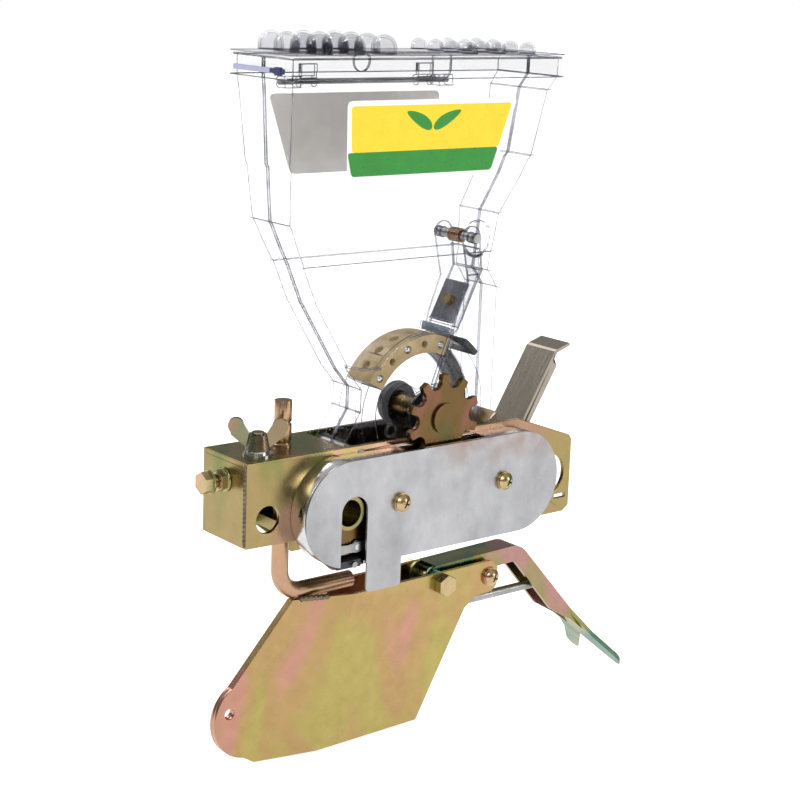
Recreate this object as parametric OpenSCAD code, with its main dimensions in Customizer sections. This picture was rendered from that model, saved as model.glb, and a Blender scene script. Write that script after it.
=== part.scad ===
/* [Frame] */
// Width over the two frame side plates
frame_w = 39; // [39:0.5:42]
// Thickness of the frame sheet
sheet_t = 2.5; // [2:0.25:2.75]
// Top edge of the frame above the front cross hole
frame_top = 30.2; // [29.5:0.1:31]
// Diameter of the front cross hole
cross_hole_d = 14; // [12:0.5:15]
// Diameter of the rear lightening hole
rear_hole_d = 23; // [18:0.5:24]

/* [Chain drive] */
// Height of the drive axis above the front cross hole
drive_z = -0.6; // [-1:0.1:0]
// How far the idler axis sits above the drive axis
idler_rise = 2.6; // [2.4:0.1:2.7]
// Chain pitches between the drive axis and the idler axis
span_pitches = 8; // [8]
// Pitch of the roller chain
pitch = 12.7; // [12.7]
// Teeth on each sprocket
teeth = 10; // [10]
// Corner radius of the chain case
case_r = 27.8; // [27.5:0.1:28.5]
// Depth of the chain case, cover included
case_d = 13.5; // [13:0.25:14.5]

/* [Seed roller] */
// Distance from the front cross hole to the roller shaft
roller_x = 105.4; // [105:0.1:106]
// Height of the roller shaft above the front cross hole
roller_z = 40; // [39.5:0.1:40.5]
// Outer radius of the roller
roller_r = 41; // [40:0.25:41]
// Width of the roller
roller_w = 20; // [18:0.5:20]
// Diameter of the roller shaft
shaft_d = 14; // [12:0.5:14]

/* [Hopper] */
// Thickness of the clear walls
wall = 1.8; // [1.6:0.1:2]
// Top face of the lid
lid_top = 226.5; // [225:0.5:228]
// Half width of the hopper under the lid
hopper_h = 24; // [23.5:0.1:24.2]

/* [Ground tools] */
// Diameter of the depth stem
stem_d = 9; // [8:0.25:9]
// Thickness of the shoe plates
shoe_t = 2.3; // [2:0.1:2.5]
// Outside half width of the rear of the shoe
shoe_h = 12.6; // [12.4:0.1:13]
// Outside half width of the press arm channel
arm_h = 7.6; // [7:0.1:7.8]

/* [Hidden] */

$fn = 48;
frame_h = frame_w / 2;
inner_h = frame_h - sheet_t;
plate_gap = 0.05;
drive_x = 42.4;
drive_span = span_pitches * pitch;
run_a = asin(idler_rise / drive_span);
idler_x = drive_x + drive_span * cos(run_a);
idler_z = drive_z + idler_rise;
pitch_r = pitch / (2 * sin(180 / teeth));
case_x = 41.4;
case_span = 114.3;
cover_t = 1.3;
case_wall = 1.5;
cover_y = -frame_h - case_d;
sprocket_y = -frame_h - 6.1;
sprocket_t = 3.6;
hub_r = 9;
hub_bore_r = 7;
idler_axle_r = 4;
shaft_r = shaft_d / 2;
roller_in_r = 31.5;
roller_y0 = -roller_w / 2 + 0.5;
roller_y1 = roller_y0 + roller_w;
pin_ring_r = 36.2;
gate_x = 132;
gate_z = 131;
gate_pin_r = 2.5;
pivot_x = 57;
pivot_z = 25.5;
pivot_r = 2.5;
stem_x = 21.6;
stem_r = stem_d / 2;
stem_top = 54.4;
bend_r = 13;
stem_low_z = -48.6;
set_z = 18;
screw_r = 3;
wing_x = 2;
wing_y = -6.6;
arm_x = 121.8;
arm_z = -58.4;
arm_bolt_r = 4;
stop_x = 156;
stop_z = -60.5;
stop_r = 2.2;
tie_z = -14;
latch_x = 172;
latch_z = 17;
gold = [0.78, 0.66, 0.38];
clear = [0.85, 0.87, 0.92, 0.35];
nickel = [0.78, 0.79, 0.8];
steel = [0.6, 0.6, 0.58];
black = [0.06, 0.06, 0.08];
ivory = [0.82, 0.74, 0.52];

// A plate from y0 to y1 whose outline is drawn with x along the frame and y up
module plate(y0, y1) translate([0, y1, 0]) rotate([90, 0, 0]) linear_extrude(y1 - y0) children();

// A round bar across the frame
module bar_y(x, z, r, y0, y1) translate([x, y1, z]) rotate([90, 0, 0]) cylinder(r = r, h = y1 - y0);

// A round bar along the frame
module bar_x(y, z, r, x0, x1) translate([x0, y, z]) rotate([0, 90, 0]) cylinder(r = r, h = x1 - x0);

// A hexagon prism across the frame, measured across its flats
module hex_y(x, z, flats, y0, y1)
    translate([x, y1, z]) rotate([90, 30, 0]) cylinder(r = flats / sqrt(3), h = y1 - y0, $fn = 6);

// A race-track outline of radius r, from its first centre at the origin to its second centre at length l
module race_track(r, l) {
    circle(r);
    translate([l, 0]) circle(r);
    translate([0, -r]) square([l, 2 * r]);
}

/* ---- frame ---- */

module frame_outline()
    polygon([[-13, -13.4], [17, -14], [41.3, -34], [78, -34], [84, -28.2], [202.5, -28.2], [206.8, -25.2],
        [206.5, 13.5], [204.6, 16.1], [165.8, frame_top], [-13, frame_top]]);

module frame_side(y0, y1) difference() {
    plate(y0, y1) difference() {
        frame_outline();
        circle(d = cross_hole_d);
        translate([190.3, -4.8]) circle(d = rear_hole_d);
        translate([195.5, -20]) square([8.5, 2.6]);
    }
    bar_y(drive_x, drive_z, hub_r + plate_gap, y0 - 1, y1 + 1);
    bar_y(pivot_x, pivot_z, pivot_r + plate_gap, y0 - 1, y1 + 1);
}

module frame_front_plate() color(gold) difference() {
    frame_side(-frame_h, -inner_h);
    bar_y(idler_x, idler_z, idler_axle_r, -frame_h - 1, -inner_h + 1);
}

module frame_back_plate() color(gold) frame_side(inner_h, frame_h);

module frame_top_plate() color(gold) difference() {
    translate([-13, -inner_h, frame_top - sheet_t]) cube([61, 2 * inner_h, sheet_t]);
    translate([stem_x, 0, 0]) cylinder(r = stem_r + plate_gap, h = 40);
    translate([wing_x, wing_y, 0]) cylinder(r = screw_r + 0.4, h = 40);
}

module frame_end_plate() color(gold) difference() {
    translate([-13, -inner_h, -13.4]) cube([sheet_t, 2 * inner_h, frame_top + 13.4 - sheet_t]);
    bar_x(0, set_z, screw_r + plate_gap, -14, -9);
}

// Bead of weld down the front corner of the box
module frame_welds() color([0.35, 0.28, 0.2]) difference() {
    translate([-13, -frame_h + 1.3, -12.6]) cylinder(r = 1.2, h = 42);
    translate([-13, -frame_h, -20]) cube([5, 5, 60]);
}

module frame_tie_bars() color(gold) {
    for (x = [96, 172]) bar_y(x, tie_z, 4, -inner_h, inner_h);
}

module stem_guide() color(gold) difference() {
    translate([stem_x - 9, -inner_h, -11.5]) cube([16, 2 * inner_h, 6]);
    translate([stem_x, 0, -20]) cylinder(r = stem_r + plate_gap, h = 40);
}

module lock_nut() color(gold) difference() {
    union() {
        translate([-18, 0, set_z]) rotate([0, 90, 0]) cylinder(r = 10 / sqrt(3), h = 4, $fn = 6);
        bar_x(0, set_z, 6.2, -14, -13);
    }
    bar_x(0, set_z, screw_r + plate_gap, -19, -12);
}

module weld_nut() color(gold) difference() {
    translate([wing_x, wing_y, frame_top - sheet_t - 5]) cylinder(r = 10 / sqrt(3), h = 5, $fn = 6);
    translate([wing_x, wing_y, 0]) cylinder(r = screw_r + plate_gap, h = 40);
}

module washers() color(nickel) translate([wing_x, wing_y, frame_top]) difference() {
    union() {
        cylinder(r = 7.5, h = 1.2);
        translate([0, 0, 1.2]) cylinder(r = 5.6, h = 1.4);
    }
    translate([0, 0, -1]) cylinder(r = screw_r + 0.3, h = 5);
}

/* ---- chain case ---- */

// Wall of the case, cut away over the roller sprocket and under the hub slot
module chain_case_wall() color(nickel) difference() {
    plate(cover_y + cover_t, -frame_h) translate([case_x, drive_z]) difference() {
        race_track(case_r, case_span);
        race_track(case_r - case_wall, case_span);
        translate([-6.5, -case_r - 1]) square([16.6, 6]);
    }
    translate([roller_x - 27, sprocket_y - 4.4, drive_z + case_r - 6]) cube([54, 9, 10]);
}

slot_x = 43.9;
slot_r = 8.2;
tab_x0 = 52.7;
tab_x1 = 74.9;
tab_low = -44;
module chain_case_cover() color([0.72, 0.72, 0.72]) difference() {
    plate(cover_y, cover_y + cover_t) difference() {
        union() {
            translate([case_x, drive_z]) race_track(case_r, case_span);
            translate([tab_x0, tab_low + 2]) square([tab_x1 - tab_x0, 20]);
            translate([tab_x0 + 2, tab_low]) square([tab_x1 - tab_x0 - 4, 20]);
            for (x = [tab_x0 + 2, tab_x1 - 2]) translate([x, tab_low + 2]) circle(2);
        }
        translate([slot_x, 0.2]) circle(slot_r);
        translate([slot_x - slot_r, -40]) square([2 * slot_r, 40.2]);
    }
    for (p = cover_points) bar_y(p[0], p[1], 2, cover_y - 1, cover_y + 3);
}

// Pan head with a cross recess whose flat back lies at y
module pan_head(x, z, y) difference() {
    intersection() {
        bar_y(x, z, 4.6, y - 3.3, y);
        translate([x, y + 2.3, z]) sphere(r = 5.4);
    }
    for (a = [20, 110]) translate([x, y - 2.8, z]) rotate([0, a, 0]) cube([4.4, 3, 1], center = true);
}

cover_points = [[73.5, 1], [idler_x, idler_z]];
screw_in = 6;
module cover_screws() color(gold) for (p = cover_points) {
    bar_y(p[0], p[1], 2, cover_y - 1.7, cover_y + screw_in);
    bar_y(p[0], p[1], 5.2, cover_y - 1.7, cover_y);
    pan_head(p[0], p[1], cover_y - 1.7);
}

module cover_spacer() color(steel) difference() {
    bar_y(cover_points[0][0], cover_points[0][1], 4, cover_y + cover_t, -frame_h);
    bar_y(cover_points[0][0], cover_points[0][1], 2, cover_y, cover_y + screw_in);
}

// Nylon block that carries the bottom run past the hub slot
module chain_guide() color(black)
    translate([drive_x - 7, cover_y + 2.6, drive_z - case_r - 1.6]) cube([15.4, 9.6, 4]);

module guide_pin() color(steel) bar_y(drive_x + 3, drive_z - case_r + 0.4, 1.6, cover_y + 0.6, cover_y + 2.6);

// Chain loop as two closed side bands joined by its rollers
band_h = 2.9;
band_t = 1.3;
band_in = 2.4;
link_r = 3.4;
phase = 180 / teeth;
run_x = pitch_r * sin(phase);
run_z = pitch_r * cos(phase);
module link_roller(x, z) bar_y(x, z, link_r, -band_in, band_in);
module drive_chain() color(steel) translate([drive_x, sprocket_y, drive_z]) rotate([0, -run_a, 0]) {
    for (y = [-band_in - band_t, band_in]) plate(y, y + band_t) difference() {
        race_track(pitch_r + band_h, drive_span);
        race_track(pitch_r - band_h, drive_span);
    }
    for (i = [0 : span_pitches - 1], s = [-1, 1]) link_roller(run_x + i * pitch, s * run_z);
    for (i = [1 : teeth / 2]) {
        a = 90 + (i - 0.5) * 360 / teeth;
        link_roller(pitch_r * cos(a), pitch_r * sin(a));
        link_roller(drive_span - pitch_r * cos(a), pitch_r * sin(a));
    }
}

/* ---- sprockets ---- */

// Pointed teeth with round roots, turned so that the gaps meet the chain's rollers
tip_r = 23.4;
root_r = 3.9;
module sprocket_outline(turn) rotate(turn) difference() {
    circle(tip_r);
    for (i = [0 : teeth - 1]) rotate(i * 360 / teeth) {
        translate([pitch_r, 0]) circle(root_r);
        polygon([[pitch_r, -root_r], [pitch_r, root_r], [tip_r + 2, root_r + 2.6],
            [tip_r + 2, -root_r - 2.6]]);
    }
}

module drive_hub() color(gold) difference() {
    union() {
        bar_y(drive_x, drive_z, hub_r, -frame_h - 11.2, frame_h + 1.5);
        bar_y(drive_x, drive_z, 11.4, frame_h + 0.2, frame_h + 3);
    }
    bar_y(drive_x, drive_z, hub_bore_r, -frame_h - 12, frame_h + 4);
}

module sprocket(x, z, bore, turn) difference() {
    plate(sprocket_y - sprocket_t / 2, sprocket_y + sprocket_t / 2) translate([x, z]) sprocket_outline(turn);
    bar_y(x, z, bore, -frame_h - case_d, -frame_h);
}

module drive_sprocket() color([0.72, 0.5, 0.28]) sprocket(drive_x, drive_z, hub_r, run_a);

module idler_sprocket() color(gold) sprocket(idler_x, idler_z, idler_axle_r + plate_gap, run_a);

module idler_axle() color(steel) difference() {
    union() {
        bar_y(idler_x, idler_z, idler_axle_r, cover_y + cover_t, -inner_h);
        bar_y(idler_x, idler_z, 6.5, sprocket_y + sprocket_t / 2 + 0.3, -frame_h);
    }
    bar_y(idler_x, idler_z, 2, cover_y, cover_y + screw_in);
}

/* ---- clear hopper ---- */

// Levels from the bottom up: height, left wall, right wall
taper = 0.105;
low_h = 14.4;
hopper_top = 224.6;
levels = [[11, 52, 151.5], [31, 52, 151.5], [45, 61, 151.5], [57, 61, 151.5], [67, 52.5, 151.5],
    [103.5, 29.8, 151.5], [109.5, 27.2, 147.5], [113, 25.6, 144.6], [123.2, 21.2, 146], [133, 16.2, 147],
    [143.6, 11.3, 148], [145, 10.3, 149], [162, 8.9, 159.5], [171.6, 8.3, 164], [173.6, 7.3, 166],
    [208, 5.4, 172], [215, 4.7, 177.6], [hopper_top, 4.7, 177.6]];
waist_z = 123.2;
function half_at(z) = hopper_h - (208 - z) * taper;
widths = [[11, low_h], [waist_z, low_h], [waist_z + 1.6, half_at(waist_z + 1.6)], [208, hopper_h],
    [214.5, 24.9], [hopper_top, 24.9]];
function backwards(v) = [for (i = [len(v) - 1 : -1 : 0]) v[i]];

// Adds a copy of the first and last rows, moved e past the ends along the row's height
function moved_row(row, h, e) = [for (i = [0 : len(row) - 1]) row[i] + (i == h ? e : 0)];
function stretched(rows, h, e) = concat([moved_row(rows[0], h, -e)], rows,
    [moved_row(rows[len(rows) - 1], h, e)]);

// Outer form of the hopper drawn in by d on every side wall and lengthened by e at both ends
module hopper_form(d, e) {
    ls = stretched(levels, 0, e);
    ws = stretched(widths, 0, e);
    intersection() {
        plate(-40, 40)
            polygon(concat([for (l = ls) [l[1] + d, l[0]]], backwards([for (l = ls) [l[2] - d, l[0]]])));
        rotate([90, 0, 90]) linear_extrude(200)
            polygon(concat([for (w = ws) [d - w[1], w[0]]], backwards([for (w = ws) [w[1] - d, w[0]]])));
    }
}

module hopper_half(y0) difference() {
    intersection() {
        hopper_form(0, 0);
        translate([-50, y0, 0]) cube([300, 40, 300]);
    }
    hopper_form(wall, 1);
    bar_y(gate_x, gate_z, gate_pin_r, -30, 30);
    bar_y(pivot_x, pivot_z, pivot_r, -30, 30);
}

// Outline of the wall panel set in over the roller, grown by d
lip_r = 42.4;
module recess(d) {
    intersection() {
        translate([roller_x, roller_z]) circle(lip_r + d);
        polygon([[70, 40], [70, 100], [126 + d, 100], [107.8 + d, 53 + d], [119 + d, 53 + d], [119 + d, 40]]);
    }
    polygon([[40, 5], [40, 72 + d], [50, 70 + d], [58, 67.8 + d], [66, 66.3 + d], [73, 66.9 + d], [80, 50],
        [119 + d, 50], [119 + d, 5]]);
}

bush_front_r = 12.2;
bush_rear_r = 11.5;
bush_neck_r = 9.6;
panel_y0 = -12;
panel_t = 1.5;
module hopper_front() color(clear) difference() {
    union() {
        difference() {
            hopper_half(-40);
            plate(-30, panel_y0) recess(0);
        }
        intersection() {
            union() {
                plate(panel_y0, panel_y0 + panel_t) recess(1.5);
                plate(-low_h, panel_y0) difference() {
                    recess(1.5);
                    recess(0);
                }
            }
            hopper_form(0, 0);
        }
        plate(-low_h - 1.1, -low_h) polygon([[128.5, 112], [135.5, 112], [108.5, 48.5], [105.5, 48.5]]);
        difference() {
            bar_y(gate_x, gate_z, 10, -16.6, -15);
            bar_y(gate_x, gate_z, 8.6, -17, -14);
        }
        difference() {
            bar_y(81.8, 33.2, 4, panel_y0 - 1, panel_y0);
            bar_y(81.8, 33.2, 2.6, panel_y0 - 2, panel_y0);
        }
    }
    bar_y(roller_x, roller_z, bush_neck_r, -low_h - 1, 0);
    bar_y(pivot_x, pivot_z, pivot_r, -low_h - 1, 0);
}

lid_pin_y = 29;
lid_pin_z = 210;
lid_pin_r = 1.5;
module hopper_back() color(clear) {
    difference() {
        hopper_half(0);
        bar_y(roller_x, roller_z, bush_rear_r, 0, low_h + 1);
    }
    for (x = [40, 140]) difference() {
        union() {
            translate([x - 5, 23.4, lid_pin_z - 3]) cube([10, lid_pin_y - 23.4, 6]);
            bar_x(lid_pin_y, lid_pin_z, 3, x - 5, x + 5);
        }
        bar_x(lid_pin_y, lid_pin_z, lid_pin_r, x - 6, x + 6);
    }
}

label_z = 185;
label_t = 0.35;
module label_outline() polygon([[38.6, 19.8], [148.4, 19.8], [137.4, -20.2], [42.6, -20.2]]);

module front_label() color([0.95, 0.8, 0.1]) translate([0, -half_at(label_z) - 0.04, label_z])
    rotate([atan(taper), 0, 0]) plate(-label_t, 0) label_outline();

module back_label() color([0.95, 0.8, 0.1]) translate([0, half_at(label_z) + 0.04, label_z])
    rotate([-atan(taper), 0, 0]) plate(0, label_t) translate([174, 0]) mirror([1, 0]) label_outline();

module hopper_pivot_pin() color(steel) bar_y(pivot_x, pivot_z, pivot_r, -frame_h, frame_h);

module front_bush() color(black) difference() {
    union() {
        bar_y(roller_x, roller_z, bush_front_r, panel_y0 - 1.6, panel_y0);
        bar_y(roller_x, roller_z, bush_neck_r, panel_y0, panel_y0 + panel_t);
    }
    bar_y(roller_x, roller_z, shaft_r + plate_gap, -30, 0);
}

module rear_bush() color(black) difference() {
    bar_y(roller_x, roller_z, bush_rear_r, roller_y1 + 0.5, low_h + 0.6);
    bar_y(roller_x, roller_z, shaft_r + plate_gap, 0, 30);
}

gate_half = 12;
module gate_pin() color(steel) bar_y(gate_x, gate_z, gate_pin_r, -16.6, 16.6);

module gate_spring() color([0.5, 0.36, 0.2]) for (y = [-4.5 : 1.5 : 4.5]) translate([gate_x, y, gate_z])
    rotate([90, 0, 0]) rotate_extrude() translate([gate_pin_r + 0.75, 0]) circle(0.6, $fn = 16);

// Part of a round band about the roller shaft, between two angles less than 180 apart
module sector(r0, r1, a0, a1) intersection() {
    difference() {
        circle(r1);
        circle(r0);
    }
    polygon([[0, 0], 2 * r1 * [cos(a0), sin(a0)], 2 * r1 * [cos((a0 + a1) / 2), sin((a0 + a1) / 2)],
        2 * r1 * [cos(a1), sin(a1)]]);
}

module about_roller(y0, y1) plate(y0, y1) translate([roller_x, roller_z]) children();

module wiper_lip() color(black) about_roller(-12, 12) sector(roller_r + 1.2, roller_r + 4, 40, 55);

module latch_lug() color(clear) translate([151.5, -8, 12]) cube([4, 16, 12]);

/* ---- lid ---- */

lid_x0 = 2.3;
lid_x1 = 180;
lid_h = 26.7;
lid_low = 214.6;
lid_r = 4;
lid_in_r = 1.2;
module rounded(x0, x1, h, r) {
    translate([x0 + r, -h]) square([x1 - x0 - 2 * r, 2 * h]);
    translate([x0, -h + r]) square([x1 - x0, 2 * h - 2 * r]);
    for (x = [x0 + r, x1 - r], y = [-h + r, h - r]) translate([x, y]) circle(r);
}

module lid() color(clear) {
    difference() {
        translate([0, 0, lid_low]) linear_extrude(lid_top - lid_low) rounded(lid_x0, lid_x1, lid_h, lid_r);
        translate([0, 0, lid_low - 1]) linear_extrude(lid_top - lid_low - 0.8)
            rounded(lid_x0 + 1.6, lid_x1 - 1.6, lid_h - 1.6, lid_in_r);
    }
    for (x = [52, 128]) difference() {
        union() {
            translate([x - 5, lid_h, lid_pin_z]) cube([10, lid_pin_y - lid_h, 9]);
            bar_x(lid_pin_y, lid_pin_z, 3, x - 5, x + 5);
        }
        bar_x(lid_pin_y, lid_pin_z, lid_pin_r + plate_gap, x - 6, x + 6);
    }
    for (p = [[43.7, 223.7, 5], [93.7, 220, 6]]) plate(-lid_h - 1, -lid_h) {
        translate([p[0], p[1]]) circle(p[2]);
        translate([p[0] - p[2], p[1]]) square([2 * p[2], lid_top - p[1]]);
    }
}

// Hollow dome of radius r on a short neck of height h
module dome(r, h) difference() {
    union() {
        cylinder(r = r, h = h);
        translate([0, 0, h]) sphere(r = r);
    }
    translate([0, 0, -h]) cylinder(r = r - 1, h = 2 * h);
    translate([0, 0, h]) sphere(r = r - 1);
    translate([0, 0, -r]) cube(2 * r, center = true);
}

dome_pitch_y = 13.4;
module lid_domes() color(clear) translate([0, 0, lid_top]) for (i = [0 : 2], j = [-1.5 : 1.5]) {
    translate([23.7 + i * 19.4, j * dome_pitch_y, 0]) dome(6.4, 3);
    translate([117.4 + i * 19.8, j * dome_pitch_y, 0]) dome(4.3, 1.5);
}

module lid_end_block() color([0.13, 0.15, 0.33]) translate([0, -lid_h, 217.4]) {
    translate([lid_x0 - 1.2, 4, 0]) cube([1.2, 42, 2.6]);
    translate([lid_x0 - 1.6, 6, -0.8]) cube([1.6, 5, 4]);
}

module lid_hinge_pin() color(steel) bar_x(lid_pin_y, lid_pin_z, lid_pin_r, 35, 145);

/* ---- brush gate ---- */

module cheek() difference() {
    union() {
        translate([gate_x, gate_z]) circle(6.2);
        polygon([[126.4, 128.4], [138.2, 130.4], [140.6, 113], [125.4, 82.4], [121.4, 79], [124, 90],
            [131, 108]]);
    }
    translate([gate_x, gate_z]) circle(gate_pin_r + plate_gap);
}

gate_screw_r = 1.7;
// Along the gate's screw, with zero on the bracket's inner face
module on_gate_screw() translate([128.15, 0, 96.25]) rotate([0, -atan(2), 0]) children();

module gate_hole() on_gate_screw() translate([0, 0, -8]) cylinder(r = gate_screw_r + plate_gap, h = 10);

module brush_gate() color(clear) {
    for (y = [-gate_half, gate_half - 1.3]) plate(y, y + 1.3) cheek();
    difference() {
        plate(-gate_half, gate_half) {
            polygon([[140.6, 113], [125.6, 83], [124.2, 83.6], [139.2, 113.6]]);
            polygon([[140.6, 113], [138.4, 125], [137, 124.8], [139, 113]]);
        }
        gate_hole();
    }
}

module gate_bracket() color(nickel) difference() {
    plate(-9, 9)
        polygon([[134.4, 105.6], [124.4, 85.6], [122.6, 85.4], [122.2, 86.2], [123.2, 86.4], [133.2, 106.2]]);
    gate_hole();
}

module gate_screw() color([0.7, 0.55, 0.25]) on_gate_screw() {
    translate([0, 0, 0.1]) cylinder(r = 3.4, h = 2.4);
    translate([0, 0, -7.4]) cylinder(r = gate_screw_r, h = 8);
    translate([0, 0, -6.5]) cylinder(r = 3.6, h = 2.6, $fn = 6);
}

module gate_bristles() color([0.45, 0.5, 0.6])
    about_roller(-9.5, 9.5) sector(roller_r + 0.6, roller_r + 5.6, 63, 78);

/* ---- seed roller ---- */

module roller_shaft() color([0.72, 0.55, 0.32]) {
    bar_y(roller_x, roller_z, shaft_r, sprocket_y - sprocket_t / 2 - 1.6, 18);
    bar_y(roller_x, roller_z, 8.2, sprocket_y - sprocket_t / 2 - 1.6, sprocket_y - sprocket_t / 2);
    bar_y(roller_x, roller_z, 8.6, low_h + 1, 17);
}

// The top run passes under this sprocket, and meets its gaps when it is not turned
module roller_sprocket() color([0.72, 0.55, 0.3]) sprocket(roller_x, roller_z, shaft_r, 0);

seed_a0 = 66;
seed_a1 = 152;
blank_a0 = -16;
blank_a1 = 66;
blank_r = 38;
module roller_wheel() color(clear) difference() {
    union() {
        about_roller(roller_y0, roller_y1) difference() {
            circle(roller_r);
            circle(roller_in_r);
        }
        about_roller(roller_y1 - 3, roller_y1) circle(roller_in_r + 1);
        about_roller(roller_y0 + 1, roller_y1) circle(shaft_r + 4);
    }
    bar_y(roller_x, roller_z, shaft_r, -30, 30);
    about_roller(roller_y0 - 1, roller_y1 + 1) sector(roller_in_r, roller_r + 1, seed_a0, seed_a1);
    about_roller(0, roller_y1 + 1) sector(roller_in_r, blank_r, blank_a0, blank_a1);
}

cell_n = 5;
module seed_segment() color(ivory) difference() {
    about_roller(roller_y0, roller_y1) sector(roller_in_r, roller_r, seed_a0, seed_a1);
    for (i = [0 : cell_n - 1]) translate([roller_x, 0.5, roller_z]) rotate([0, -78 - i * 15.5, 0])
        translate([roller_r - 3.5, 0, 0]) rotate([0, 90, 0]) cylinder(r = 2.6, h = 6);
    for (i = [0 : 1]) translate([roller_x, 0, roller_z]) rotate([0, -91 - i * 36, 0])
        bar_y(pin_ring_r, 0, 2, roller_y0 - 1, roller_y0 + 5);
    for (i = [0 : 2]) translate([roller_x, 0, roller_z]) rotate([0, -73 - i * 36, 0])
        bar_y(pin_ring_r, 0, 2.2, roller_y0 - 1, roller_y0 + 5);
}

module blank_segment() color(black)
    about_roller(0, roller_y1) sector(roller_in_r, blank_r, blank_a0, blank_a1);

module ejector_pins() color(nickel) for (i = [0 : 2])
    translate([roller_x, 0, roller_z]) rotate([0, -73 - i * 36, 0]) {
        translate([pin_ring_r, roller_y0 + 1.5, 0]) sphere(r = 2.2);
        bar_y(pin_ring_r, 0, 1.6, roller_y0 + 1.6, roller_y0 + 5);
    }

/* ---- latch ---- */

latch_h = 11.5;
latch_top_x = 198.8;
latch_top_z = 62.3;
module latch_lever() color([0.6, 0.57, 0.5]) difference() {
    union() {
        plate(-latch_h, latch_h) polygon([[latch_x + 2.4, latch_z + 4.6], [latch_x + 1.1, latch_z + 5.2],
            [latch_top_x - 1.4, latch_top_z + 0.6], [latch_top_x, latch_top_z + 1.6],
            [208.4, 66.8], [208.9, 65.4], [latch_top_x + 0.6, latch_top_z - 0.2]]);
        plate(-latch_h, -latch_h + 1.4) polygon([[175, 19.4], [180, 22.6], [199.4, 54.6], [196.6, 57.6]]);
        for (y = [-latch_h, latch_h - 1.4]) plate(y, y + 1.4) {
            translate([latch_x, latch_z]) circle(5);
            polygon([[latch_x - 4.8, latch_z + 1.5], [latch_x - 1, latch_z - 5], [latch_x - 9, latch_z - 7],
                [latch_x - 16.1, latch_z - 3], [latch_x - 16.1, latch_z - 1]]);
            polygon([[latch_x - 3, latch_z + 4], [latch_x + 4.5, latch_z - 2], [180, 22.6], [175.3, 26]]);
        }
    }
    bar_y(latch_x, latch_z, 2.55, -20, 20);
}

module latch_pin() color(steel) bar_y(latch_x, latch_z, 2.5, -inner_h, inner_h);

module latch_spring() color(steel) for (y = [-6 : 1.5 : 6]) translate([latch_x, y, latch_z])
    rotate([90, 0, 0]) rotate_extrude() translate([3.6, 0]) circle(0.6, $fn = 16);

/* ---- depth stem and shoe ---- */

module stem_bar() color([0.72, 0.55, 0.45]) {
    difference() {
        translate([stem_x, 0, stem_low_z + bend_r]) cylinder(r = stem_r, h = stem_top - stem_low_z - bend_r);
        for (z = [42.9, 32.6])
            translate([stem_x, 0, z]) rotate_extrude() translate([stem_r + 0.4, 0]) circle(1);
    }
    translate([stem_x + bend_r, 0, stem_low_z + bend_r]) rotate([90, 0, 0]) rotate([0, 0, 180])
        rotate_extrude(angle = 90) translate([bend_r, 0]) circle(stem_r);
    bar_x(0, stem_low_z, stem_r, stem_x + bend_r, 67);
}

crease_a = atan(0.28);
crease_near = 43;
crease_far = 73.9;
nose_x = 3;
nose_z = -112.3;
nose_r = 21.3;
module shoe_outline()
    polygon([[-11, -97.5], [29, -53], [157, -51.5], [161.8, -56], [161.2, -66.5], [158, -69.4],
        [146, -70.3], [138.3, -75.7], [106.2, -134.1], [38.8, -135.5], [6.3, -137.5], [-4.5, -131]]);

// Sheet folded along two slanting creases: nose flat, flared middle, straight rear
module folded_sheet() rotate([0, crease_a, 0]) translate([0, 0, -170]) linear_extrude(200)
    polygon([[-40, 0], [-40, -shoe_t], [crease_near, -shoe_t], [crease_far, -shoe_h], [220, -shoe_h],
        [220, shoe_t - shoe_h], [crease_far, shoe_t - shoe_h], [crease_near, 0]]);

module shoe_side() difference() {
    intersection() {
        folded_sheet();
        union() {
            bar_y(nose_x, nose_z, nose_r, -30, 0);
            plate(-30, 0) shoe_outline();
        }
    }
    bar_y(-9.3, -107.2, 3, -30, 30);
    bar_y(arm_x, arm_z, arm_bolt_r, -30, 30);
    bar_y(stop_x, stop_z, stop_r, -30, 30);
    bar_x(0, stem_low_z, stem_r, stem_x, 68);
}

module shoe_front_side() color([0.8, 0.64, 0.42]) shoe_side();

module shoe_back_side() color([0.8, 0.64, 0.42]) mirror([0, 1, 0]) shoe_side();

// Beads of weld where the stem lies in the throat of the shoe
module shoe_welds() color([0.5, 0.42, 0.3]) for (s = [-1, 1]) difference() {
    translate([31, s * 4.1, -52.2]) rotate([0, 90, s * 16.3]) cylinder(r = 1.6, h = 18);
    mirror([0, s > 0 ? 1 : 0, 0]) shoe_side();
    bar_x(0, stem_low_z, stem_r, stem_x - 10, 68);
}

module stop_rod() color(steel) bar_x(-2.6, -75.6, 2.5, 128, 202.2);

module pivot_bolt() color(gold) {
    bar_y(arm_x, arm_z, arm_bolt_r, -shoe_h - 1, shoe_h + 3);
    hex_y(arm_x, arm_z, 11, -shoe_h - 5, -shoe_h);
    hex_y(arm_x, arm_z, 11, shoe_h, shoe_h + 5);
}

module pivot_sleeve() color(nickel)
    for (y = [[-shoe_h + shoe_t, -arm_h - 0.3], [arm_h + 0.3, shoe_h - shoe_t]])
    difference() {
        bar_y(arm_x, arm_z, 6, y[0], y[1]);
        bar_y(arm_x, arm_z, arm_bolt_r, y[0] - 1, y[1] + 1);
    }

module stop_screw() color(gold) {
    bar_y(stop_x, stop_z, stop_r, -shoe_h - 1.7, shoe_h + 3);
    bar_y(stop_x, stop_z, 5.2, -shoe_h - 1.7, -shoe_h);
    hex_y(stop_x, stop_z, 8, shoe_h, shoe_h + 4);
    pan_head(stop_x, stop_z, -shoe_h - 1.7);
}

/* ---- press arm ---- */

arm_t = 2.2;
web_z = -49.6;
bend_x = 177;
outer_bend = 14;
flange_d = 9.3;
tail_a = 47.5;
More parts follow.
